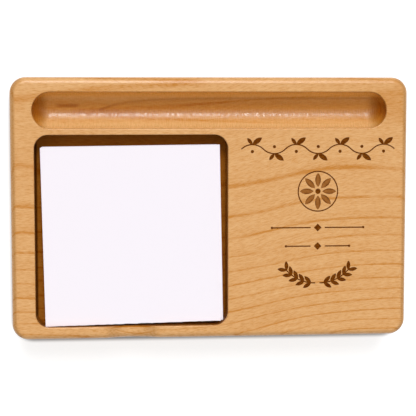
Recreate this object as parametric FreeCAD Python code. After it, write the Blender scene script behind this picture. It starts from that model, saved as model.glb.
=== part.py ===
import FreeCAD, Part
import math
import os

from FreeCAD import Vector

# A desk holder for memo sheets. A solid hardwood board is routed with a note well, a pen groove and a
# thumb scoop, and lies on a low case with one full-width drawer. Everything is in millimetres.
# +X is to the right, +Y to the rear and +Z up. The origin is at desk level under the middle of the holder.

overshoot = 1.0  # how far a cutter runs past the face that it opens
tolerance = 0.05  # when edges are picked by where they lie

# ---- memo sheets ----
note_size = 99.0  # a trimmed 4 inch sheet is square
note_block_height = 11.3
sheet_thickness = 0.25  # a loose sheet with its curl
note_clearance = 0.35  # between a sheet's corner and the rounded corner of the well
top_note_turn = 1.2  # degrees, seen from above, against the clock
top_note_left_gap = 5.0  # front left corner to the left wall of the well
top_note_front_gap = 0.0  # added to the least gap at the front wall
loose_note_turn = 0.7
loose_note_left_gap = 6.0
loose_note_front_gap = 1.2
note_block_turn = 0.9
note_block_left_gap = 5.3
note_block_front_gap = 0.5

# ---- top board ----
left_rail = 13.1  # board edge to note well
front_rail = 6.75
well_clearance = 4.25  # round a centred sheet
panel_width = 101.65  # engraved panel, from the well to the right edge
groove_web = 3.3  # wood between the well and the pen groove
rear_rail = 8.1  # pen groove to the rear edge
corner_radius = 8.8  # corners seen from above
edge_radius = 3.6  # roundover of the upper edge
mouth_radius = 0.5  # eased edges of the well and the groove
joint_radius = 0.6  # eased edges where the board lies on the case
well_depth = 14.7
well_floor = 3.3  # wood under the well
well_corner_radius = 7.8
groove_width = 20.4
groove_depth = 11.8
groove_end_margin = 12.1
scoop_depth = 3.4
scoop_floor_radius = 30.0
scoop_shoulder_radius = 14.0

# ---- engraving on the right of the board ----
engraving_depth = 0.35
engraving_line = 0.7  # width of a stem or a ring
vine_waves = 7
vine_pitch = 12.4  # length of one half wave
vine_arc_radius = 8.8
vine_leaf_length = 6.6
vine_leaf_width = 2.8
vine_bud_length = 4.6
vine_bud_width = 2.0
vine_berry_radius = 0.9
vine_berry_drop = 1.35  # from the vine's middle line
vine_leaf_lean = 36.0  # degrees from the vine's middle line
vine_bud_lean = 128.0
vine_from_well_rear = 8.2  # vine's middle line, forward of the well's rear wall
rosette_from_well_rear = 32.0
rosette_petals = 8
rosette_petal_length = 8.0
rosette_petal_width = 3.2
rosette_hub_radius = 1.5
rosette_hub_gap = 0.9
rosette_ring_radius = 11.2
divider_from_well_rear = (52.5, 63.0)
divider_half_lengths = (26.0, 18.0)
divider_diamond = 2.2
divider_line_start = 4.0  # from the middle of the diamond
sprig_from_well_rear = 84.0
sprig_arc_radius = 22.0
sprig_sweep = 52.0  # degrees of the stem on each side
sprig_leaves = 5
sprig_leaf_length = 5.4
sprig_leaf_width = 2.2
sprig_leaf_lean = 38.0  # degrees from the stem
sprig_first_leaf = 0.6  # root to first pair of leaves, in steps between pairs
sprig_stem_offset = 1.2  # each stem from the middle of the sprig

# ---- case ----
foot_height = 2.5
foot_radius = 5.5
foot_taper = 0.7
foot_edge_radius = 0.5
foot_inset_x = 20.0
foot_inset_y = 22.0
case_height = 22.0
case_edge_radius = 1.2  # eased lower edge
cheek_width = 14.0
back_rail_thickness = 13.0
base_thickness = 4.0
base_seat = 8.0  # overlap of the base panel on the cheeks and the back rail
base_gap = 0.2
runner_height = 5.0
runner_reach = 4.0  # how far a runner stands out of its cheek
runner_dado = 2.0  # how deep a runner is let into its cheek
runner_nose = 1.5
dowel_radius = 3.0
dowel_up = 7.0
dowel_down = 9.0
dowel_gap = 0.05
cheek_dowel_inset = 15.0
back_dowel_half_span = 60.0
screw_radius = 1.6
screw_head_radius = 3.1
screw_head_height = 1.8
screw_length = 10.0
screw_point = 2.5
screw_tip_radius = 0.2
screw_gap = 0.05
screw_slot_width = 0.8
screw_slot_depth = 0.7
screw_inset = 24.0
back_screw_half_span = 30.0
peg_radius = 3.0
peg_half_span = 50.0
peg_setback = 11.75  # drawer front to a peg's middle, which lets the drawer out by 95.5
peg_foot = 0.5  # wood left under a peg
peg_top_gap = 0.9  # peg to the drawer's bottom panel
bumper_radius = 4.0
bumper_thickness = 1.5
bumper_half_span = 60.0

# ---- drawer ----
drawer_side_gap = 0.5
drawer_top_gap = 0.6  # drawer front to the board
drawer_slack = 0.8  # drawer sides to the board and to the base panel
drawer_rest_gap = 0.3  # closed drawer to its bumpers
front_base_gap = 0.3  # drawer front to the base panel behind it
front_runner_gap = 0.6  # drawer front to the runners behind it
front_thickness = 13.0
side_thickness = 8.0
back_thickness = 8.0
side_rabbet = 7.0  # how far a side is let into the front
bottom_thickness = 3.0
bottom_groove = 2.5
bottom_raise = 3.0  # bottom panel above the lower edge of the sides
bottom_gap = 0.1
runner_gap = 0.1  # above and below a runner
runner_side_gap = 0.4
notch_width = 34.0
notch_depth = 12.0
notch_edge_radius = 1.2
pin_radius = 1.5
pin_length = 18.0
pin_gap = 0.05

# ---- places worked out from the sizes above ----
well_size = note_size + 2 * well_clearance
board_length = left_rail + well_size + panel_width
board_depth = front_rail + well_size + groove_web + groove_width + rear_rail
board_thickness = well_depth + well_floor
half_x = board_length / 2
half_y = board_depth / 2
well_x0 = -half_x + left_rail
well_x1 = well_x0 + well_size
well_y0 = -half_y + front_rail
well_y1 = well_y0 + well_size
well_x = (well_x0 + well_x1) / 2
panel_x = (well_x1 + half_x) / 2
groove_y = half_y - rear_rail - groove_width / 2
case_top = foot_height + case_height
board_top = case_top + board_thickness
well_z = board_top - well_depth
base_top = foot_height + base_thickness
bay_half = half_x - cheek_width
bay_rear = half_y - back_rail_thickness
front_back_y = -half_y + front_thickness
drawer_half = bay_half - drawer_side_gap
drawer_rear = bay_rear - bumper_thickness - drawer_rest_gap
side_z0 = base_top + drawer_slack
side_z1 = case_top - drawer_slack
side_y0 = front_back_y - side_rabbet
back_y0 = drawer_rear - back_thickness
runner_z0 = (side_z0 + side_z1 - runner_height) / 2
runner_z1 = runner_z0 + runner_height
bottom_z0 = side_z0 + bottom_raise
bottom_z1 = bottom_z0 + bottom_thickness
peg_y = front_back_y + peg_setback
pin_z = (runner_z1 + side_z1) / 2

# ---- outlines seen from above: x0, x1, y0, y1 and the radius of the corners ----
board_outline = (-half_x, half_x, -half_y, half_y, corner_radius)
well_outline = (well_x0, well_x1, well_y0, well_y1, well_corner_radius)
groove_outline = (-half_x + groove_end_margin, half_x - groove_end_margin,
                  groove_y - groove_width / 2, groove_y + groove_width / 2, groove_width / 2)


def box(x0, x1, y0, y1, z0, z1):
    return Part.makeBox(x1 - x0, y1 - y0, z1 - z0, Vector(x0, y0, z0))


def rounded_block(outline, z0, z1):
    x0, x1, y0, y1, radius = outline
    block = box(x0, x1, y0, y1, z0, z1)
    upright = [e for e in block.Edges if e.BoundBox.ZLength > (z1 - z0) / 2]
    return block.makeFillet(radius, upright)


def rod(x, y, z0, z1, radius):
    return Part.makeCylinder(radius, z1 - z0, Vector(x, y, z0))


def rod_along(axis, start, length, radius):
    return Part.makeCylinder(radius, length, start, axis)


def from_outline(x, y, outline):
    """Distance of a point from an outline, negative inside it."""
    x0, x1, y0, y1, radius = outline
    over_x = abs(x - (x0 + x1) / 2) - ((x1 - x0) / 2 - radius)
    over_y = abs(y - (y0 + y1) / 2) - ((y1 - y0) / 2 - radius)
    if over_x > 0 and over_y > 0:
        return math.hypot(over_x, over_y) - radius
    return max(over_x, over_y) - radius


def edges_along(shape, outline, z_low, z_high):
    """Edges that run along an outline between two heights."""
    found = []
    for edge in shape.Edges:
        middle = edge.valueAt((edge.FirstParameter + edge.LastParameter) / 2)
        upright = edge.BoundBox.ZLength > max(edge.BoundBox.XLength, edge.BoundBox.YLength)
        on_it = abs(from_outline(middle.x, middle.y, outline)) < tolerance
        if on_it and z_low < middle.z < z_high and not upright:
            found.append(edge)
    return found


def edges_at(shape, z):
    """Edges that run along the board's outline at one height."""
    return edges_along(shape, board_outline, z - tolerance, z + tolerance)


# ---- top board ----
def scoop_cutter():
    """A dip across the front rail. Its floor and both shoulders are arcs that meet in tangents."""
    radii = scoop_floor_radius + scoop_shoulder_radius
    turn = math.acos(1 - scoop_depth / radii)
    y0 = -half_y - overshoot
    floor_z = board_top - scoop_depth + scoop_floor_radius
    shoulder_z = board_top - scoop_shoulder_radius

    def on_floor(angle):
        return Vector(well_x + scoop_floor_radius * math.sin(angle), y0,
                      floor_z - scoop_floor_radius * math.cos(angle))

    def on_shoulder(side, angle):
        return Vector(well_x + side * (radii * math.sin(turn) - scoop_shoulder_radius * math.sin(angle)), y0,
                      shoulder_z + scoop_shoulder_radius * math.cos(angle))

    lift = Vector(0, 0, overshoot)
    left, right = on_shoulder(-1, 0), on_shoulder(1, 0)
    wire = Part.Wire([
        Part.Arc(left, on_shoulder(-1, turn / 2), on_floor(-turn)).toShape(),
        Part.Arc(on_floor(-turn), on_floor(0), on_floor(turn)).toShape(),
        Part.Arc(on_floor(turn), on_shoulder(1, turn / 2), right).toShape(),
        Part.makeLine(right, right + lift),
        Part.makeLine(right + lift, left + lift),
        Part.makeLine(left + lift, left),
    ])
    return Part.Face(wire).extrude(Vector(0, front_rail + 2 * overshoot, 0))


def groove_cutter():
    """The path of a ball-nosed cutter: a round-bottomed trough with upright walls above it."""
    radius = groove_width / 2
    x0, x1 = groove_outline[0] + radius, groove_outline[1] - radius
    z_axis = board_top - groove_depth + radius
    trough = rod_along(Vector(1, 0, 0), Vector(x0, groove_y, z_axis), x1 - x0, radius)
    for x in (x0, x1):
        trough = trough.fuse(Part.makeSphere(radius, Vector(x, groove_y, z_axis)))
    slot = box(x0, x1, groove_y - radius, groove_y + radius, z_axis, board_top + overshoot)
    ends = [rod(x, groove_y, z_axis, board_top + overshoot, radius) for x in (x0, x1)]
    return trough.fuse([slot] + ends).removeSplitter()


def pocket(wire):
    """A shallow engraved area with the given outline."""
    return Part.Face(wire).extrude(Vector(0, 0, engraving_depth + overshoot))


def engraved(x, y):
    return Vector(x, y, board_top - engraving_depth)


def leaf(x, y, angle, length, width):
    """A pointed leaf of two arcs that grows from (x, y)."""
    along = Vector(math.cos(angle), math.sin(angle), 0)
    across = Vector(-along.y, along.x, 0)
    root = engraved(x, y)
    tip = root + along * length
    middle = root + along * (length / 2)
    upper = Part.Arc(root, middle + across * (width / 2), tip).toShape()
    lower = Part.Arc(tip, middle - across * (width / 2), root).toShape()
    return pocket(Part.Wire([upper, lower]))


def dot(x, y, radius):
    return Part.makeCylinder(radius, engraving_depth + overshoot, engraved(x, y))


def stem(x, y, radius, start, end):
    """A thin engraved line along an arc round (x, y), between two angles."""
    def on(r, angle):
        return engraved(x + r * math.cos(angle), y + r * math.sin(angle))

    inner, outer, middle = radius - engraving_line / 2, radius + engraving_line / 2, (start + end) / 2
    return pocket(Part.Wire([
        Part.Arc(on(outer, start), on(outer, middle), on(outer, end)).toShape(),
        Part.makeLine(on(outer, end), on(inner, end)),
        Part.Arc(on(inner, end), on(inner, middle), on(inner, start)).toShape(),
        Part.makeLine(on(inner, start), on(outer, start)),
    ]))


def vine():
    """A waving stem with a leaf and a bud outside every crest and a berry inside it."""
    y = well_y1 - vine_from_well_rear
    half = math.asin(vine_pitch / 2 / vine_arc_radius)
    sag = vine_arc_radius * math.cos(half)
    crest = vine_arc_radius - sag
    cuts = []
    for i in range(vine_waves):
        x = panel_x + (i - (vine_waves - 1) / 2) * vine_pitch
        up = 1 if i % 2 == 0 else -1
        start = up * math.pi / 2 - half
        cuts.append(stem(x, y - up * sag, vine_arc_radius, start, start + 2 * half))
        leaf_angle, bud_angle = up * math.radians(vine_leaf_lean), up * math.radians(vine_bud_lean)
        cuts.append(leaf(x, y + up * crest, leaf_angle, vine_leaf_length, vine_leaf_width))
        cuts.append(leaf(x, y + up * crest, bud_angle, vine_bud_length, vine_bud_width))
        cuts.append(dot(x, y - up * vine_berry_drop, vine_berry_radius))
    return cuts


def rosette():
    """A ring round a flower of narrow petals."""
    y = well_y1 - rosette_from_well_rear
    cuts = [dot(panel_x, y, rosette_hub_radius)]
    ring = dot(panel_x, y, rosette_ring_radius + engraving_line / 2)
    cuts.append(ring.cut(dot(panel_x, y, rosette_ring_radius - engraving_line / 2)))
    start = rosette_hub_radius + rosette_hub_gap
    for i in range(rosette_petals):
        angle = 2 * math.pi * i / rosette_petals
        cuts.append(leaf(panel_x + start * math.cos(angle), y + start * math.sin(angle), angle,
                         rosette_petal_length, rosette_petal_width))
    return cuts


def divider(from_well_rear, half_length):
    """A thin straight line that is broken by a diamond and ends in a dot on each side."""
    y = well_y1 - from_well_rear
    half_line = engraving_line / 2
    z0 = board_top - engraving_depth
    corners = [(divider_diamond, 0), (0, divider_diamond), (-divider_diamond, 0), (0, -divider_diamond)]
    points = [engraved(panel_x + dx, y + dy) for dx, dy in corners]
    cuts = [pocket(Part.makePolygon(points + points[:1]))]
    for side in (-1, 1):
        near, far = panel_x + side * divider_line_start, panel_x + side * half_length
        x0, x1 = min(near, far), max(near, far)
        cuts.append(box(x0, x1, y - half_line, y + half_line, z0, board_top + overshoot))
        cuts.append(dot(far, y, engraving_line))
    return cuts


def sprig():
    """Two curved stems with pairs of leaves that rise from one point to the left and the right."""
    y = well_y1 - sprig_from_well_rear
    cuts = []
    for side in (-1, 1):
        centre_x, centre_y = panel_x + side * sprig_stem_offset, y + sprig_arc_radius
        start, end = -math.pi / 2, -math.pi / 2 + side * math.radians(sprig_sweep)
        cuts.append(stem(centre_x, centre_y, sprig_arc_radius, min(start, end), max(start, end)))
        for i in range(sprig_leaves):
            angle = start + (end - start) * (i + sprig_first_leaf) / sprig_leaves
            x = centre_x + sprig_arc_radius * math.cos(angle)
            leaf_y = centre_y + sprig_arc_radius * math.sin(angle)
            forward = angle + side * math.pi / 2
            for lean in (-1, 1):
                cuts.append(leaf(x, leaf_y, forward + lean * math.radians(sprig_leaf_lean),
                                 sprig_leaf_length, sprig_leaf_width))
    return cuts


def top_board():
    upper_z = (board_top - scoop_depth - tolerance, board_top + tolerance)
    board = rounded_block(board_outline, case_top, board_top).cut(scoop_cutter())
    board = board.makeFillet(edge_radius, edges_along(board, board_outline, *upper_z))
    board = board.makeFillet(joint_radius, edges_at(board, case_top))
    board = board.cut([rounded_block(well_outline, well_z, board_top + overshoot), groove_cutter()])
    mouths = edges_along(board, well_outline, *upper_z)
    mouths += edges_along(board, groove_outline, board_top - tolerance, board_top + tolerance)
    board = board.makeFillet(mouth_radius, mouths)
    engraving = vine() + rosette() + sprig()
    for from_well_rear, half_length in zip(divider_from_well_rear, divider_half_lengths):
        engraving += divider(from_well_rear, half_length)
    board = board.cut(engraving)
    return board.cut(dowel_rods(dowel_gap))


# ---- memo sheets ----
def front_gap_for(left_gap):
    """Least distance to the front wall at which a sheet's corner clears the well's rounded corner."""
    if left_gap >= well_corner_radius:
        return note_clearance
    reach = well_corner_radius - note_clearance
    return well_corner_radius - math.sqrt(reach ** 2 - (well_corner_radius - left_gap) ** 2)


def notes(left_gap, front_gap, turn, z0, z1):
    """A square sheet or stack, placed by its front left corner and turned about it."""
    x0 = well_x0 + left_gap
    y0 = well_y0 + front_gap_for(left_gap) + front_gap
    stack = box(x0, x0 + note_size, y0, y0 + note_size, z0, z1)
    stack.rotate(Vector(x0, y0, z0), Vector(0, 0, 1), turn)
    return stack


# ---- case ----
def case_block():
    """The whole case as one block: the outline of the board with eased edges."""
    block = rounded_block(board_outline, foot_height, case_top)
    block = block.makeFillet(case_edge_radius, edges_at(block, foot_height))
    return block.makeFillet(joint_radius, edges_at(block, case_top))


def base_block(gap):
    """The base panel, made larger all round by a gap for the rebate that it lies in."""
    x1 = bay_half + base_seat + gap
    y1 = bay_rear + base_seat + gap
    return box(-x1, x1, front_back_y + front_base_gap, y1, foot_height, base_top)


def dowel_rods(gap):
    """Upright dowels into the board, and one level dowel from each cheek into the back rail."""
    radius = dowel_radius + gap
    z0, z1 = case_top - dowel_down - gap, case_top + dowel_up + gap
    x = half_x - cheek_width / 2
    y = half_y - back_rail_thickness / 2
    rods = []
    for side in (-1, 1):
        for dowel_y in (-half_y + cheek_dowel_inset, 0, bay_rear - cheek_dowel_inset):
            rods.append(rod(side * x, dowel_y, z0, z1, radius))
        rods.append(rod(side * back_dowel_half_span, y, z0, z1, radius))
        reach = dowel_up + gap
        start = Vector(side * bay_half - reach, y, (base_top + case_top) / 2)
        rods.append(rod_along(Vector(1, 0, 0), start, 2 * reach, radius))
    return rods


def screw_places():
    x = bay_half + base_seat / 2
    y = bay_rear + base_seat / 2
    sides = [(side * x, screw_y) for side in (-1, 1)
             for screw_y in (-half_y + screw_inset, 0, bay_rear - screw_inset)]
    return sides + [(side * back_screw_half_span, y) for side in (-1, 1)]


def screw(x, y, gap):
    """A countersunk wood screw that points up, with its head flush in the base panel."""
    point_z = foot_height + screw_length - screw_point
    head = Part.makeCone(screw_head_radius + gap, screw_radius + gap, screw_head_height,
                         Vector(x, y, foot_height))
    shank = rod(x, y, foot_height, point_z, screw_radius + gap)
    point = Part.makeCone(screw_radius + gap, screw_tip_radius + gap, screw_point, Vector(x, y, point_z))
    tip = rod(x, y, point_z + screw_point, point_z + screw_point + gap, screw_tip_radius + gap)
    return head.fuse([shank, point] + ([tip] if gap else [])).removeSplitter()


def base_screws():
    bodies = []
    for x, y in screw_places():
        slot = box(x - screw_head_radius, x + screw_head_radius, y - screw_slot_width / 2,
                   y + screw_slot_width / 2, foot_height, foot_height + screw_slot_depth)
        bodies.append(screw(x, y, 0).cut(slot))
    return bodies


def screw_holes():
    return [screw(x, y, screw_gap) for x, y in screw_places()]


def runner_block(side, reach):
    """A strip along one cheek, let into it, that stands out of it by a given reach."""
    inner, outer = bay_half - reach, bay_half + runner_dado
    x0, x1 = (inner, outer) if side > 0 else (-outer, -inner)
    return box(x0, x1, front_back_y + front_runner_gap, bay_rear, runner_z0, runner_z1)


def runner(side):
    strip = runner_block(side, runner_reach)
    nose = [e for e in strip.Edges if e.BoundBox.YMax < front_back_y + front_runner_gap + tolerance
            and e.BoundBox.XLength > runner_reach]
    return strip.makeChamfer(runner_nose, nose)


def cheek(side):
    x0, x1 = (bay_half, half_x) if side > 0 else (-half_x, -bay_half)
    body = case_block().common(box(x0, x1, -half_y, half_y, foot_height, case_top))
    return body.cut([base_block(base_gap), runner_block(side, 0)] + dowel_rods(dowel_gap) + screw_holes())


def back_rail():
    body = case_block().common(box(-bay_half, bay_half, bay_rear, half_y, foot_height, case_top))
    return body.cut([base_block(base_gap)] + dowel_rods(dowel_gap) + screw_holes())


def stop_pegs(gap):
    """Pegs that stand up out of the base panel, under the drawer's bottom panel."""
    z0 = foot_height + peg_foot
    z1 = bottom_z0 - peg_top_gap
    return [rod(side * peg_half_span, peg_y, z0, z1, peg_radius + gap) for side in (-1, 1)]


def base_panel():
    return base_block(0).cut(screw_holes() + stop_pegs(pin_gap))


def drawer_bumpers():
    z = (side_z0 + side_z1) / 2
    return [rod_along(Vector(0, 1, 0), Vector(side * bumper_half_span, bay_rear - bumper_thickness, z),
                      bumper_thickness, bumper_radius) for side in (-1, 1)]


def foot(side_x, side_y):
    x, y = side_x * (half_x - foot_inset_x), side_y * (half_y - foot_inset_y)
    body = Part.makeCone(foot_radius - foot_taper, foot_radius, foot_height, Vector(x, y, 0))
    return body.makeFillet(foot_edge_radius, [e for e in body.Edges if e.BoundBox.ZMax < tolerance])


# ---- drawer ----
def drawer_side_block(side):
    x0, x1 = drawer_half - side_thickness, drawer_half
    if side < 0:
        x0, x1 = -x1, -x0
    return box(x0, x1, side_y0, drawer_rear, side_z0, side_z1)


def bottom_block(gap):
    """The bottom panel, made larger by a gap for the grooves that hold it."""
    x1 = drawer_half - side_thickness + bottom_groove
    y0, y1 = front_back_y - bottom_groove, back_y0 + bottom_groove
    if gap:
        return box(-x1, x1, y0, y1, bottom_z0, bottom_z1)
    return box(-x1 + bottom_gap, x1 - bottom_gap, y0 + bottom_gap, y1 - bottom_gap, bottom_z0, bottom_z1)


def drawer_pins(gap):
    """Level pins that go through the sides into the front and the back."""
    pins = []
    for side in (-1, 1):
        start_x = drawer_half - pin_length - gap if side > 0 else -drawer_half
        for y in (front_back_y - side_rabbet / 2, drawer_rear - back_thickness / 2):
            pins.append(rod_along(Vector(1, 0, 0), Vector(start_x, y, pin_z), pin_length + gap,
                                  pin_radius + gap))
    return pins


def drawer_front():
    z1 = case_top - drawer_top_gap
    body = case_block().common(box(-drawer_half, drawer_half, -half_y, front_back_y, foot_height, z1))
    notch_radius = (notch_width ** 2 / 4 + notch_depth ** 2) / (2 * notch_depth)
    notch = rod_along(Vector(0, 1, 0), Vector(0, -half_y - overshoot, z1 - notch_depth + notch_radius),
                      front_thickness + 2 * overshoot, notch_radius)
    body = body.cut(notch)
    rims = [e for e in body.Edges if abs(e.BoundBox.XLength - notch_width) < tolerance
            and abs(e.BoundBox.ZLength - notch_depth) < tolerance]
    body = body.makeFillet(notch_edge_radius, rims)
    return body.cut([drawer_side_block(-1), drawer_side_block(1), bottom_block(bottom_gap)]
                    + drawer_pins(pin_gap))


def drawer_side(side):
    x0 = bay_half - runner_reach - runner_side_gap
    x0, x1 = (x0, half_x) if side > 0 else (-half_x, -x0)
    groove = box(x0, x1, side_y0, drawer_rear, runner_z0 - runner_gap, runner_z1 + runner_gap)
    stopped = box(x0, x1, side_y0, front_back_y, side_z0, side_z1)
    cuts = [groove.cut(stopped), bottom_block(bottom_gap)] + drawer_pins(pin_gap)
    return drawer_side_block(side).cut(cuts)


def drawer_back():
    x1 = drawer_half - side_thickness
    body = box(-x1, x1, back_y0, drawer_rear, side_z0, side_z1)
    return body.cut([bottom_block(bottom_gap)] + drawer_pins(pin_gap))


# ---- all the pieces ----
note_z = well_z + note_block_height
pieces = {
    "top_board": top_board(),
    "note_block": notes(note_block_left_gap, note_block_front_gap, note_block_turn, well_z, note_z),
    "loose_note": notes(loose_note_left_gap, loose_note_front_gap, loose_note_turn,
                        note_z, note_z + sheet_thickness),
    "top_note": notes(top_note_left_gap, top_note_front_gap, top_note_turn,
                      note_z + sheet_thickness, note_z + 2 * sheet_thickness),
    "left_cheek": cheek(-1),
    "right_cheek": cheek(1),
    "back_rail": back_rail(),
    "base_panel": base_panel(),
    "left_runner": runner(-1),
    "right_runner": runner(1),
    "case_dowels": Part.makeCompound(dowel_rods(0)),
    "base_screws": Part.makeCompound(base_screws()),
    "stop_pegs": Part.makeCompound(stop_pegs(0)),
    "drawer_bumpers": Part.makeCompound(drawer_bumpers()),
    "front_left_foot": foot(-1, -1),
    "front_right_foot": foot(1, -1),
    "rear_left_foot": foot(-1, 1),
    "rear_right_foot": foot(1, 1),
    "drawer_front": drawer_front(),
    "drawer_left_side": drawer_side(-1),
    "drawer_right_side": drawer_side(1),
    "drawer_back": drawer_back(),
    "drawer_bottom": bottom_block(0),
    "drawer_pins": Part.makeCompound(drawer_pins(0)),
}

os.makedirs("parts", exist_ok=True)
for name, shape in pieces.items():
    shape.exportStep(os.path.join("parts", name + ".step"))
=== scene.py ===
import math
import random
from types import SimpleNamespace

import bpy
from mathutils import Matrix, Vector


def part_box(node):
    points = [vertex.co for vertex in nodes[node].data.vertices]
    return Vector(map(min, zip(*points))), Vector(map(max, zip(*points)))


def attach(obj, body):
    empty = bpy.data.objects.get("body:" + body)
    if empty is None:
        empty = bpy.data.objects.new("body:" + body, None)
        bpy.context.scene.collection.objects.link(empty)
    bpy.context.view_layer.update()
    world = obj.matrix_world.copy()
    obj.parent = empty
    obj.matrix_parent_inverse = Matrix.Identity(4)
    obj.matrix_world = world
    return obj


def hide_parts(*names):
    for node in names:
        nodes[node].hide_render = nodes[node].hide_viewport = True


# A wooden desk holder for memo sheets, with a pen groove and a drawer. The solids come from the frame,
# in metres, and this script gives them their finishes, lays the paper and sets the stage.
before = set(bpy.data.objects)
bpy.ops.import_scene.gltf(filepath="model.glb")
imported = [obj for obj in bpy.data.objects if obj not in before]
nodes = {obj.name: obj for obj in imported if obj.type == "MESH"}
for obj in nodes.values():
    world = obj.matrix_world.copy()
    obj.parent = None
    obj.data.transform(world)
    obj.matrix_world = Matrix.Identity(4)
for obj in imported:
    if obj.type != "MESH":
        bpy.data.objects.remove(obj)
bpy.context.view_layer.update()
MM = 0.001


# ---- top board ----
# One piece of flat-sawn cherry, routed with a well, a groove and a thumb scoop, sanded, engraved by
# burning and rubbed with a satin lacquer. The pith of the tree ran under the pen groove.
def link(tree, socket, value):
    """Sets a socket, or joins it to another node's output."""
    if isinstance(value, bpy.types.NodeSocket):
        tree.links.new(value, socket)
    else:
        socket.default_value = value


def maths(tree, operation, *values):
    node = tree.nodes.new("ShaderNodeMath")
    node.operation = operation
    for socket, value in zip(node.inputs, values):
        link(tree, socket, value)
    return node.outputs[0]


def times(tree, product, *values):
    for value in values:
        product = maths(tree, "MULTIPLY", product, value)
    return product


def largest(tree, found, *values):
    for value in values:
        found = maths(tree, "MAXIMUM", found, value)
    return found


def apart(tree, value, middle):
    """How far a value lies from a middle, on either side."""
    return maths(tree, "ABSOLUTE", maths(tree, "SUBTRACT", value, middle))


def distance(tree, x, y):
    return maths(tree, "SQRT", maths(tree, "ADD", times(tree, x, x), times(tree, y, y)))


def between(tree, value, low, high):
    """1 between two limits and 0 outside them."""
    return times(tree, maths(tree, "GREATER_THAN", value, low), maths(tree, "LESS_THAN", value, high))


def in_box(tree, place, low, high):
    """1 inside a box and 0 outside it."""
    return times(tree, *(between(tree, *limits) for limits in zip(place, low, high)))


def ramp(tree, value, first, last, start, end):
    """Goes smoothly from first to last, while the value goes from start to end."""
    node = tree.nodes.new("ShaderNodeMapRange")
    node.interpolation_type = "SMOOTHSTEP"
    for name, number in (("Value", value), ("From Min", start), ("From Max", end),
                         ("To Min", first), ("To Max", last)):
        link(tree, node.inputs[name], number)
    return node.outputs[0]


def mixed(tree, factor, first, second, blend="MIX"):
    node = tree.nodes.new("ShaderNodeMix")
    node.data_type = "RGBA"
    node.blend_type = blend
    link(tree, node.inputs[0], factor)
    link(tree, node.inputs[6], first)
    link(tree, node.inputs[7], second)
    return node.outputs[2]


def noise(tree, place, patch, detail=2.0, roughness=0.5):
    """Cloudy noise, in patches of a given size along x, y and z."""
    stretched = tree.nodes.new("ShaderNodeCombineXYZ")
    for socket, value, size in zip(stretched.inputs, place, patch):
        link(tree, socket, maths(tree, "DIVIDE", value, size))
    node = tree.nodes.new("ShaderNodeTexNoise")
    link(tree, node.inputs["Vector"], stretched.outputs[0])
    node.inputs["Scale"].default_value = 1.0
    node.inputs["Detail"].default_value = detail
    node.inputs["Roughness"].default_value = roughness
    return node.outputs[0]


side_to_side = (0, 0, 0)


def turned(tree, source, grain, size=1.0, kind="POINT"):
    """The x, y and z of a texture coordinate, turned so that x runs along the grain."""
    mapping = tree.nodes.new("ShaderNodeMapping")
    mapping.vector_type = kind
    mapping.inputs["Rotation"].default_value = grain
    mapping.inputs["Scale"].default_value = (size, size, size)
    coordinate = tree.nodes.new("ShaderNodeTexCoord")
    link(tree, mapping.inputs["Vector"], coordinate.outputs[source])
    split = tree.nodes.new("ShaderNodeSeparateXYZ")
    link(tree, split.inputs[0], mapping.outputs[0])
    return tuple(split.outputs)


def new_finish(name, roughness, specular=0.5, grain=side_to_side):
    """A new material, with its node tree, its shader and the piece's own coordinates in millimetres."""
    material = bpy.data.materials.new(name)
    material.use_nodes = True
    tree = material.node_tree
    shader = tree.nodes["Principled BSDF"]
    shader.inputs["Roughness"].default_value = roughness
    shader.inputs["Specular IOR Level"].default_value = specular
    place = turned(tree, "Object", grain, 1 / MM)
    return SimpleNamespace(material=material, tree=tree, shader=shader, roughness=roughness, place=place)


def uneven_gloss(finish, pattern, spread):
    """Lets a pattern make the surface duller in some places and glossier in others."""
    middle = finish.roughness - spread / 2
    finish.gloss = maths(finish.tree, "MULTIPLY_ADD", pattern, spread, middle)
    link(finish.tree, finish.shader.inputs["Roughness"], finish.gloss)


def bump(finish, height, depth, strength):
    """Raises the surface by a height, on top of any relief that it already has."""
    tree, normal = finish.tree, finish.shader.inputs["Normal"]
    node = tree.nodes.new("ShaderNodeBump")
    node.inputs["Distance"].default_value = depth
    node.inputs["Strength"].default_value = strength
    link(tree, node.inputs["Height"], height)
    for earlier in normal.links:
        link(tree, node.inputs["Normal"], earlier.from_socket)
    link(tree, normal, node.outputs[0])


def stain(finish, where, tone, strength=1.0, blend="MIX"):
    """Lays a tone over the wood's own colour where a mask says."""
    factor = times(finish.tree, where, strength)
    finish.colour = mixed(finish.tree, factor, finish.colour, tone, blend)
    link(finish.tree, finish.shader.inputs["Base Color"], finish.colour)


def give(finish, *names):
    for name in names:
        nodes[name].material_slots[0].material = finish.material


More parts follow.
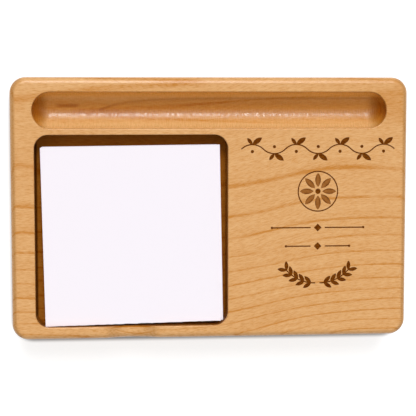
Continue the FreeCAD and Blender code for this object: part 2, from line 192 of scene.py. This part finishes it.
def growth_rings(tree, place, pith, ring_area, steps, climb, phase):
    """Dark lines where the wood's growth rings are cut. Every ring has the same area, and the pith's line
    bends sideways by a rise at each step, round a middle and over a width, and climbs along the grain."""
    x, y, z = place
    wander = 5.0
    side = maths(tree, "MULTIPLY_ADD", noise(tree, place, (90, 26, 26), 1.0), wander, -wander / 2)
    for rise, middle, width in steps:
        bend = maths(tree, "TANH", maths(tree, "DIVIDE", maths(tree, "SUBTRACT", x, middle), width))
        side = maths(tree, "MULTIPLY_ADD", bend, rise, side)
    across = maths(tree, "SUBTRACT", maths(tree, "SUBTRACT", y, pith[0]), side)
    up = maths(tree, "SUBTRACT", maths(tree, "MULTIPLY_ADD", x, -climb, z), pith[1])
    squares = maths(tree, "ADD", times(tree, across, across), times(tree, up, up))
    age = maths(tree, "SUBTRACT", maths(tree, "DIVIDE", squares, ring_area), phase)

    # A ring darkens slowly and then fast, and stops short where the next spring's growth begins.
    season = maths(tree, "FRACT", age)
    summer = ramp(tree, season, 0.0, 0.12, 0.55, 0.95)
    autumn = ramp(tree, season, 0.0, 1.0, 0.87, 0.985)
    spring = ramp(tree, season, 1.0, 0.0, 0.0, 0.07)

    # Some years are darker than others, and the lines are fainter over the pith and here and there.
    year = tree.nodes.new("ShaderNodeTexWhiteNoise")
    year.noise_dimensions = "1D"
    link(tree, year.inputs["W"], maths(tree, "ROUND", age))
    strength = maths(tree, "MULTIPLY_ADD", year.outputs["Value"], 0.5, 0.5)
    crown = ramp(tree, maths(tree, "ABSOLUTE", across), 0.55, 1.0, 10.0, 45.0)
    fade = ramp(tree, noise(tree, place, (35, 9, 9)), 0.45, 1.15, 0.3, 0.7)
    return across, times(tree, largest(tree, autumn, spring, summer), times(tree, strength, crown), fade)


def wood(name, tones, grain, pith, ring_area, steps=(), climb=0.0, phase=0.0, roughness=0.28,
         line_strength=0.80):
    """Sawn, sanded and lacquered wood, with its growth rings, fibres and pores. The tones are those of
    the pale wood, the ring lines and the end grain, the last also laid as painted shade on slanted faces,
    and the pith's two places lie across the grain."""
    pale, line, end = tones
    finish = new_finish(name, roughness, grain=grain)
    tree, (x, _, z) = finish.tree, finish.place
    across, rings = growth_rings(tree, finish.place, pith, ring_area, steps, climb, phase)
    bent = (x, across, z)
    fibre = noise(tree, bent, (3.2, 0.55, 0.55), 3.0, 0.65)
    streak = noise(tree, bent, (60, 3.5, 3.5))
    cloud = noise(tree, finish.place, (45, 22, 22), 1.0)
    pore = ramp(tree, noise(tree, bent, (1.6, 0.16, 0.16), 1.0), 0.0, 1.0, 0.66, 0.78)
    grit = noise(tree, bent, (1.3, 0.45, 0.45), 1.0)

    # The wood goes from its pale tone to the line's. The start takes off most of what the noises add.
    shade = -0.67
    for part, weight in ((rings, line_strength), (fibre, 1.50), (streak, 0.40), (cloud, 0.20),
                         (pore, 0.10)):
        shade = maths(tree, "MULTIPLY_ADD", part, weight, shade)
    clamped = tree.nodes.new("ShaderNodeClamp")
    link(tree, clamped.inputs[0], shade)
    finish.colour = mixed(tree, clamped.outputs[0], pale, line)

    # End grain drinks the finish. The colour is darkest where a face turns away from the grain at a
    # slant, which is painted shade on rounded edges as well as end grain, and lighter again where the
    # face is square on.
    finish.facing = turned(tree, "Normal", grain, kind="NORMAL")
    finish.endwise = maths(tree, "ABSOLUTE", finish.facing[0])
    slant_shade_and_end_grain = ramp(tree, finish.endwise, 0.0, 0.50, 0.05, 0.50)
    square_on = ramp(tree, finish.endwise, 0.0, 0.30, 0.5, 0.85)
    stain(finish, maths(tree, "SUBTRACT", slant_shade_and_end_grain, square_on), end)

    # Dense fibres take the higher polish. The pores are sunk, and sanding leaves a fine grit.
    uneven_gloss(finish, fibre, -0.10)
    relief = maths(tree, "MULTIPLY_ADD", pore, -0.6, maths(tree, "MULTIPLY_ADD", grit, 1.6, fibre))
    bump(finish, relief, 0.04 * MM, 0.35)
    return finish


board_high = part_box("top_board")[1]
board_top = board_high[2] / MM
cherry = ((0.775, 0.443, 0.178, 1), (0.530, 0.188, 0.001, 1), (0.35, 0.14, 0.012, 1))
board = wood("board_wood", cherry, side_to_side, pith=(51.7, board_top - 103.2), ring_area=1387,
             steps=((10.4, 35, 38), (-2.1, -45, 28)), climb=0.025, phase=0.33)
tree, (x, y, z) = board.tree, board.place

# The well is darkened below the face, as painted shade of its depth. Painted shade darkens it more along
# its left wall and at its rear, and on the end grain of its walls, which is partly the end grain's own
# tone.
well_shade_tone = (0.60, 0.37, 0.05, 1)
wall_shade_tone = (0.060, 0.012, 0.0003, 1)
well_floor = 27.8
rim = board_top - 0.4
well_marks_start = board_top - 2.5
well_low, well_high = (-99.5, -67, well_floor - 1), (10.5, 43, board_top)
left_wall_shading = (-97.6, -96.8)
rear_wall_shading = (36.0, 41.0)
well = times(tree, ramp(tree, z, 1.0, 0.0, well_marks_start, rim),
             in_box(tree, board.place, well_low, well_high))
end_walls = ramp(tree, board.endwise, 0.0, 1.0, 0.3, 0.7)
walls_shaded = largest(tree, ramp(tree, x, 0.85, 0.0, *left_wall_shading), ramp(tree, y, 0.0, 0.3, *rear_wall_shading),
                 times(tree, end_walls, 0.25))
stain(board, well, well_shade_tone, 0.92, "MULTIPLY")
stain(board, times(tree, well, walls_shaded), wall_shade_tone)

# Painted shade darkens the groove behind its middle, where its rear wall shades it. Painted light
# brightens its front slope, which faces the lamps, and its rear wall. Its ends, where the cutter turned,
# are end grain.
groove_shade_tone = (0.60, 0.43, 0.09, 1)
lit_slope_tone = (0.87, 0.56, 0.25, 1)
lit_rear_tone = (0.88, 0.44, 0.09, 1)
turned_stain = (0.84, 0.60, 0.05, 1)
groove_low, groove_high = (-99.5, 43, well_floor), (99.5, 65.5, board_top)
groove_marks_start = board_top - 2.0
shade_rise, shade_fall = (48.5, 53.5), (57.5, 63.0)
lit_slope = (46.5, 49.5)
lit_rear = (61.0, 64.0)
groove = times(tree, ramp(tree, z, 1.0, 0.0, groove_marks_start, rim),
               in_box(tree, board.place, groove_low, groove_high))
rear_shade = maths(tree, "MINIMUM", ramp(tree, y, 0.0, 0.80, *shade_rise),
                 ramp(tree, y, 0.80, 0.0, *shade_fall))
groove_ends = times(tree, groove, ramp(tree, board.endwise, 0.0, 1.0, 0.2, 0.8))
stain(board, times(tree, groove, rear_shade), groove_shade_tone, blend="MULTIPLY")
stain(board, times(tree, groove, ramp(tree, y, 0.45, 0.0, *lit_slope)), lit_slope_tone)
stain(board, times(tree, groove, ramp(tree, y, 0.0, 0.7, *lit_rear)), lit_rear_tone)
stain(board, groove_ends, turned_stain, 0.75, "MULTIPLY")

# The groove cuts one growth ring to a long point, and leaves a short streak of another.
cut_ring = (0.30, 0.085, 0.003, 1)
point_x, point_y = -62.0, 54.8
arm_rise, arm_reach = 6.5, 15.0
arm_side = (0.1, 1.2)
streak_x, streak_y = -79.5, 57.3
streak_side, streak_end = (0.2, 1.6), (3.5, 8.5)
past_point = largest(tree, maths(tree, "SUBTRACT", x, point_x), 0.0)
nearness = maths(tree, "EXPONENT", maths(tree, "DIVIDE", past_point, -arm_reach))
arm_y = maths(tree, "MULTIPLY_ADD", nearness, -arm_rise, point_y + arm_rise)
arm = times(tree, ramp(tree, apart(tree, y, arm_y), 1.0, 0.0, *arm_side),
            ramp(tree, x, 0.0, 1.0, point_x - 0.8, point_x + 0.4),
            ramp(tree, x, 1.0, 0.40, point_x + 1, point_x + 12))
streak = times(tree, ramp(tree, apart(tree, y, streak_y), 1.0, 0.0, *streak_side),
               ramp(tree, apart(tree, x, streak_x), 1.0, 0.0, *streak_end))
stain(board, times(tree, groove, largest(tree, arm, streak)), cut_ring, 0.85)

# The engraving is burnt all over, except on the rosette's petals, whose floors are only scorched.
burnt = (0.110, 0.022, 0.001, 1)
burnt_edge = (0.230, 0.070, 0.004, 1)
scorched_floor = (0.20, 0.065, 0.006, 1)
scorched_grain = (0.48, 0.19, 0.050, 1)
face_skin = 0.04
engraved_low, engraved_high = (14, -60, well_floor), (106, 42, board_top - face_skin)
rosette_x, rosette_y = 60.3, 9.225
rosette_petals = 8
petal_start, petal_end = 2.2, 10.6
petal_side = (0.4, 1.7)
engraved = in_box(tree, board.place, engraved_low, engraved_high)
char = noise(tree, board.place, (1.4, 0.5, 0.5), 3.0, 0.7)
from_x = maths(tree, "SUBTRACT", x, rosette_x)
from_y = maths(tree, "SUBTRACT", y, rosette_y)
radius = distance(tree, from_x, from_y)
petal_angle = 2 * math.pi / rosette_petals
round_rosette = maths(tree, "MULTIPLY_ADD", maths(tree, "ARCTAN2", from_y, from_x), 1 / petal_angle, 0.5)
off_petal = times(tree, apart(tree, maths(tree, "FRACT", round_rosette), 0.5), petal_angle, radius)
petal = times(tree, ramp(tree, off_petal, 0.9, 0.0, *petal_side),
              between(tree, radius, petal_start, petal_end))
scorch = mixed(tree, ramp(tree, char, 0.0, 1.0, 0.35, 0.75), burnt, burnt_edge)
scorch = mixed(tree, petal, scorch, mixed(tree, char, scorched_floor, scorched_grain))
stain(board, engraved, scorch)

# Reflections are dimmed in the well, in the engraving, and at the rear and the ends of the groove: partly
# thin lacquer there, partly painted shade.
lacquered = (1, 1, 1, 1)
dull_and_shaded_tint = (0.05, 0.03, 0.02, 1)
shaded_gloss_side = (53.8, 56.0)
bare_and_shaded = largest(tree, well, engraved, times(tree, groove, ramp(tree, y, 0.0, 0.75, *shaded_gloss_side)),
               groove_ends)
link(tree, board.shader.inputs["Specular Tint"], mixed(tree, bare_and_shaded, lacquered, dull_and_shaded_tint))

# Low in the groove the cutter's chatter left fine marks across it, polished to a sparkle.
sparkle_low, sparkle_high = board_top - 8.0, board_top - 5.0
chatter = noise(tree, board.place, (0.45, 4.0, 4.0), 1.0)
hollow = times(tree, groove, ramp(tree, z, 1.0, 0.0, sparkle_low, sparkle_high))
polish = times(tree, hollow, ramp(tree, chatter, -0.17, 0.16, 0.42, 0.60))
bump(board, times(tree, hollow, chatter), 0.04 * MM, 1.0)
link(tree, board.shader.inputs["Roughness"], maths(tree, "SUBTRACT", board.gloss, polish))
give(board, "top_board")


# ---- case ----
# Two cheeks and a back rail under the board, and the drawer front between the cheeks, all of the board's
# own cherry. The cheeks' grain runs from front to rear, and the others' from side to side.
front_to_rear = (0, 0, math.pi / 2)
give(wood("cheek_wood", cherry, front_to_rear, (190, -60), 1500, steps=((6, 10, 60),)),
     "left_cheek", "right_cheek")
give(wood("rail_wood", cherry, side_to_side, (150, -22), 1250, steps=((5, -30, 70),)), "back_rail")
give(wood("front_wood", cherry, side_to_side, (-150, -16), 1250, steps=((6, 40, 60),)), "drawer_front")


# ---- drawer box ----
# Two sides and a back of pale birch, sanded but not polished. The sides are pinned into the drawer front
# and onto the back with dowel rod, round a thin plywood bottom.
birch = ((0.800, 0.585, 0.360, 1), (0.560, 0.340, 0.150, 1), (0.480, 0.300, 0.150, 1))
give(wood("side_wood", birch, front_to_rear, (160, -40), 900, roughness=0.5, line_strength=0.3),
     "drawer_left_side", "drawer_right_side")
give(wood("back_wood", birch, side_to_side, (-90, -30), 900, roughness=0.5, line_strength=0.3),
     "drawer_back")


# ---- plywood panels ----
# The drawer's bottom and the base panel: thin birch plies with their grain crossed in turn, which show
# as light and dark bands on the sawn edges.
crossed_ply = (0.36, 0.19, 0.08, 1)


def plywood(name, ply):
    panel = wood(name, birch, side_to_side, (30, -300), 7000, roughness=0.55, line_strength=0.35)
    tree = panel.tree
    layer = maths(tree, "FRACT", maths(tree, "DIVIDE", panel.place[2], 2 * ply))
    band = times(tree, ramp(tree, layer, 0.0, 1.0, 0.45, 0.5), ramp(tree, layer, 1.0, 0.0, 0.95, 1.0))
    edge = maths(tree, "LESS_THAN", maths(tree, "ABSOLUTE", panel.facing[2]), 0.5)
    stain(panel, times(tree, band, edge), crossed_ply, 0.6)
    return panel


give(plywood("drawer_ply", 0.6), "drawer_bottom")
give(plywood("base_ply", 0.8), "base_panel")


# ---- runners, dowels, pins and pegs ----
# Plain maple: straight strips let into the cheeks, on which the drawer hangs, and rod for the dowels, the
# drawer's pins and the pegs that stop the drawer.
maple = ((0.790, 0.560, 0.330, 1), (0.580, 0.340, 0.150, 1), (0.450, 0.260, 0.120, 1))
upright = (0, math.pi / 2, 0)
give(wood("runner_wood", maple, front_to_rear, (220, 60), 700, roughness=0.4, line_strength=0.25),
     "left_runner", "right_runner")
give(wood("rod_wood", maple, upright, (200, 40), 700, roughness=0.45, line_strength=0.25),
     "case_dowels", "stop_pegs", "drawer_pins")


# ---- screws ----
# Small countersunk screws of bright steel, turned and then lightly brushed round the head. They hold the
# base panel in its rebate.
steel_dark = (0.50, 0.49, 0.47, 1)
steel_bright = (0.68, 0.67, 0.64, 1)
steel = new_finish("screw_steel", 0.32)
turning = noise(steel.tree, steel.place, (0.9, 0.12, 0.5))
link(steel.tree, steel.shader.inputs["Base Color"], mixed(steel.tree, turning, steel_dark, steel_bright))
steel.shader.inputs["Metallic"].default_value = 1.0
uneven_gloss(steel, turning, 0.2)
bump(steel, turning, 0.02 * MM, 0.5)
give(steel, "base_screws")


# ---- felt bumpers ----
# Discs of pressed dark brown wool felt, glued to the front face of the back rail. They stop the drawer
# softly as it closes.
felt_dark = (0.045, 0.030, 0.020, 1)
felt_light = (0.150, 0.105, 0.070, 1)
felt = new_finish("felt", 0.95, 0.1)
hair = noise(felt.tree, felt.place, (0.35, 0.35, 0.35), 4.0, 0.7)
link(felt.tree, felt.shader.inputs["Base Color"], mixed(felt.tree, hair, felt_dark, felt_light))
felt.shader.inputs["Sheen Weight"].default_value = 0.4
bump(felt, hair, 0.3 * MM, 0.8)
give(felt, "drawer_bumpers")


# ---- rubber feet ----
# Four moulded black rubber buttons with a fine matt grain, glued under the base panel near its corners,
# which keep the holder from sliding.
rubber_dark = (0.018, 0.018, 0.019, 1)
rubber_light = (0.040, 0.040, 0.041, 1)
rubber = new_finish("foot_rubber", 0.72, 0.3)
matt = noise(rubber.tree, rubber.place, (0.18, 0.18, 0.18), 3.0, 0.6)
link(rubber.tree, rubber.shader.inputs["Base Color"], mixed(rubber.tree, matt, rubber_dark, rubber_light))
uneven_gloss(rubber, matt, 0.2)
bump(rubber, matt, 0.05 * MM, 0.7)
give(rubber, "front_left_foot", "front_right_foot", "rear_left_foot", "rear_right_foot")


# ---- memo sheets ----
# A stack of square white sheets, cut together by guillotine and dropped into the well, so that each lies
# a hair's breadth askew, with two loose ones on top.
paper_dark = (0.925, 0.875, 0.935, 1)
paper_light = (0.975, 0.925, 0.985, 1)
paper = new_finish("note_paper", 0.75, 0.25)
pulp = noise(paper.tree, paper.place, (0.5, 0.5, 0.5), 4.0, 0.65)
link(paper.tree, paper.shader.inputs["Base Color"], mixed(paper.tree, pulp, paper_dark, paper_light))
bump(paper, pulp, 0.02 * MM, 0.4)

sheet_width = 98.4 * MM
sheet_length = 99.6 * MM
sheet_gauge = 0.1 * MM
out_of_square = 0.43 * MM
ragged = 0.12 * MM
forward = 0.3 * MM
grid_steps = 48
front_row = -0.999
wave_across, wave_along = 2.1, 1.3
curl_start = 0.55
curl_height = 4 * MM
crease_angle = math.radians(30)
stack_turn = math.radians(1.15)
stack_twist = math.radians(0.05)
stack_jog = 0.12 * MM
loose_turn = math.radians(1.1)
top_turn = math.radians(1.2)
top_gap = 0.05 * MM
deckle = random.Random(5)


def trimmed(mesh):
    """Gives a flat square of side 2 a sheet's size. The guillotine took its rear edge a little askew."""
    for vertex in mesh.vertices:
        u, v = vertex.co.x, vertex.co.y
        vertex.co.x = u * sheet_width / 2
        vertex.co.y = v * sheet_length / 2 - u * out_of_square * (v + 1) / 2


def laid(mesh, place, turn):
    mesh.transform(Matrix.Translation(place) @ Matrix.Rotation(turn, 4, "Z"))


def alone(piece):
    bpy.ops.object.select_all(action="DESELECT")
    piece.select_set(True)
    bpy.context.view_layer.objects.active = piece


def seat_of(node):
    """The middle of a node's underside, brought forward to where the sheets lie."""
    low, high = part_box(node)
    return (low[0] + high[0]) / 2, (low[1] + high[1]) / 2 - forward, low[2]


def sheet_of_paper(name, place, turn, wave, corner, curl):
    """One sheet with a slightly ragged front edge, a low wave, and a soft curl that lifts one corner."""
    bpy.ops.object.select_all(action="DESELECT")
    bpy.ops.mesh.primitive_grid_add(x_subdivisions=grid_steps, y_subdivisions=grid_steps, size=2)
    piece = bpy.context.object
    piece.name = name
    for vertex in piece.data.vertices:
        u, v = vertex.co.x, vertex.co.y
        swell = wave * (1 + math.sin(wave_across * u + wave_along * v)) / 2
        near_corner = max(0.0, (u * corner[0] + v * corner[1]) / 2 - curl_start)
        vertex.co.z = swell + curl_height * near_corner ** 2 * curl
    front = [vertex for vertex in piece.data.vertices if vertex.co.y < front_row]
    trimmed(piece.data)
    for vertex in front:
        vertex.co.y += deckle.uniform(-ragged, ragged)
    gauge = piece.modifiers.new("gauge", "SOLIDIFY")
    gauge.thickness = sheet_gauge
    gauge.offset = 1
    alone(piece)
    bpy.ops.object.modifier_apply(modifier=gauge.name)
    bpy.ops.object.shade_smooth_by_angle(angle=crease_angle)
    laid(piece.data, place, turn)
    piece.data.materials.append(paper.material)
    return piece


stack_x, stack_y, stack_low = seat_of("note_block")
stack_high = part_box("note_block")[1][2]
bpy.ops.object.select_all(action="DESELECT")
bpy.ops.mesh.primitive_cube_add(size=2)
pattern = bpy.context.object
pattern.data.transform(Matrix.Diagonal((1, 1, sheet_gauge / 2, 1)))
trimmed(pattern.data)
leaves = []
for i in range(round((stack_high - stack_low) / sheet_gauge)):
    leaf = bpy.data.objects.new("leaf", pattern.data.copy())
    bpy.context.collection.objects.link(leaf)
    turn = stack_turn + deckle.uniform(-stack_twist, stack_twist)
    leaf_x = stack_x + deckle.uniform(-stack_jog, stack_jog)
    leaf_y = stack_y + deckle.uniform(-stack_jog, stack_jog)
    laid(leaf.data, (leaf_x, leaf_y, stack_low + (i + 0.5) * sheet_gauge), turn)
    leaves.append(leaf)
bpy.data.objects.remove(pattern)
stack = leaves[0]
alone(stack)
for leaf in leaves:
    leaf.select_set(True)
bpy.ops.object.join()
stack.name = "note_stack"
stack.data.materials.append(paper.material)
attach(stack, "notes")
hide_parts("note_block")

loose = sheet_of_paper("loose_sheet", seat_of("loose_note"), loose_turn, wave=0.08 * MM, corner=(1, 1),
                       curl=0.0)
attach(loose, "notes")
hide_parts("loose_note")

top_x, top_y, top_low = seat_of("top_note")
top_sheet = sheet_of_paper("top_sheet", (top_x, top_y, top_low + top_gap), top_turn, wave=0.1 * MM,
                           corner=(1, -1), curl=0.5)
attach(top_sheet, "top_sheet")
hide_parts("top_note")


# ---- stage ----
# A light grey table. It glows a little where it is seen or mirrored, so that it looks white. Close round
# the holder it doesn't glow, which leaves a thin grey border there, like the shadow of its edge.
def seen_or_mirrored(tree):
    """1 for the rays that show a surface, and 0 for those that carry its light elsewhere."""
    rays = tree.nodes.new("ShaderNodeLightPath").outputs
    return largest(tree, rays["Is Camera Ray"], rays["Is Glossy Ray"], rays["Is Transmission Ray"])


table_size = 6.0
table_grey = (0.55, 0.55, 0.55, 1)
table_glow = 0.66
glow_start, glow_full = 2.6, 5.6
border_x, border_y = 3.0, -4.5
border_width, border_length, border_corner = 226.0, 146.0, 9.0
bpy.ops.object.select_all(action="DESELECT")
bpy.ops.mesh.primitive_plane_add(size=table_size)
floor = bpy.context.object
floor.name = "table"
table_paint = bpy.data.materials.new("table_paint")
table_paint.use_nodes = True
tree = table_paint.node_tree
tree.nodes.clear()
x, y, _ = turned(tree, "Object", side_to_side, 1 / MM)
past_x = maths(tree, "SUBTRACT", apart(tree, x, border_x), border_width / 2 - border_corner)
past_y = maths(tree, "SUBTRACT", apart(tree, y, border_y), border_length / 2 - border_corner)
past_corner = distance(tree, largest(tree, past_x, 0.0), largest(tree, past_y, 0.0))
away = maths(tree, "SUBTRACT", past_corner, border_corner)
clear = ramp(tree, away, 0.0, 1.0, glow_start, glow_full)
cover = tree.nodes.new("ShaderNodeBsdfDiffuse")
cover.inputs["Color"].default_value = table_grey
glow = tree.nodes.new("ShaderNodeEmission")
link(tree, glow.inputs["Strength"], times(tree, seen_or_mirrored(tree), times(tree, clear, table_glow)))
both = tree.nodes.new("ShaderNodeAddShader")
link(tree, both.inputs[0], cover.outputs[0])
link(tree, both.inputs[1], glow.outputs[0])
surface = tree.nodes.new("ShaderNodeOutputMaterial")
link(tree, surface.inputs["Surface"], both.outputs[0])
floor.data.materials.append(table_paint)


# ---- surround and lamps ----
# White surroundings, which look white but light the holder only softly, and three distant lamps: two
# behind the holder, one high and one low, and a broad one overhead.
room_light = 0.25
surround = bpy.data.worlds.new("surround")
bpy.context.scene.world = surround
surround.use_nodes = True
tree = surround.node_tree
walls = tree.nodes["Background"].inputs
walls["Color"].default_value = (1, 1, 1, 1)
link(tree, walls["Strength"],
     maths(tree, "MULTIPLY_ADD", seen_or_mirrored(tree), 1 - room_light, room_light))


def lamp(name, direction, level, spread):
    """A distant soft lamp. A level of 1 lights a facing white surface fully."""
    light = bpy.data.lights.new(name, "SUN")
    light.energy = level * math.pi
    light.angle = math.radians(spread)
    stand = bpy.data.objects.new(name, light)
    stand.rotation_euler = Vector(direction).to_track_quat("Z", "Y").to_euler()
    bpy.context.collection.objects.link(stand)


lamp("high_rear_lamp", direction=(0.03, 0.50, 0.87), level=0.42, spread=22)
lamp("low_rear_lamp", direction=(0.03, 0.84, 0.54), level=0.17, spread=30)
lamp("overhead_lamp", direction=(0.06, 0.00, 1.0), level=0.30, spread=100)


# ---- camera ----
# High above the holder, a little to the left and the rear of its middle.
# It looks nearly straight down.
camera_distance = 0.700
camera_x, camera_y = -0.0609, 0.0596
camera_tilt = (-4.863, -4.865, -0.023)
focal_pixels = 1251.9
frame_pixels = 416
sensor = 36.0
view = bpy.data.cameras.new("camera")
view.sensor_width = sensor
view.lens = focal_pixels * sensor / frame_pixels
view.clip_start = 0.01
camera = bpy.data.objects.new("camera", view)
camera_rise = math.sqrt(camera_distance ** 2 - camera_x ** 2 - camera_y ** 2)
camera.location = (camera_x, camera_y, board_high[2] + camera_rise)
camera.rotation_euler = [math.radians(angle) for angle in camera_tilt]
bpy.context.collection.objects.link(camera)
bpy.context.scene.camera = camera
bpy.context.scene.view_settings.view_transform = "Standard"
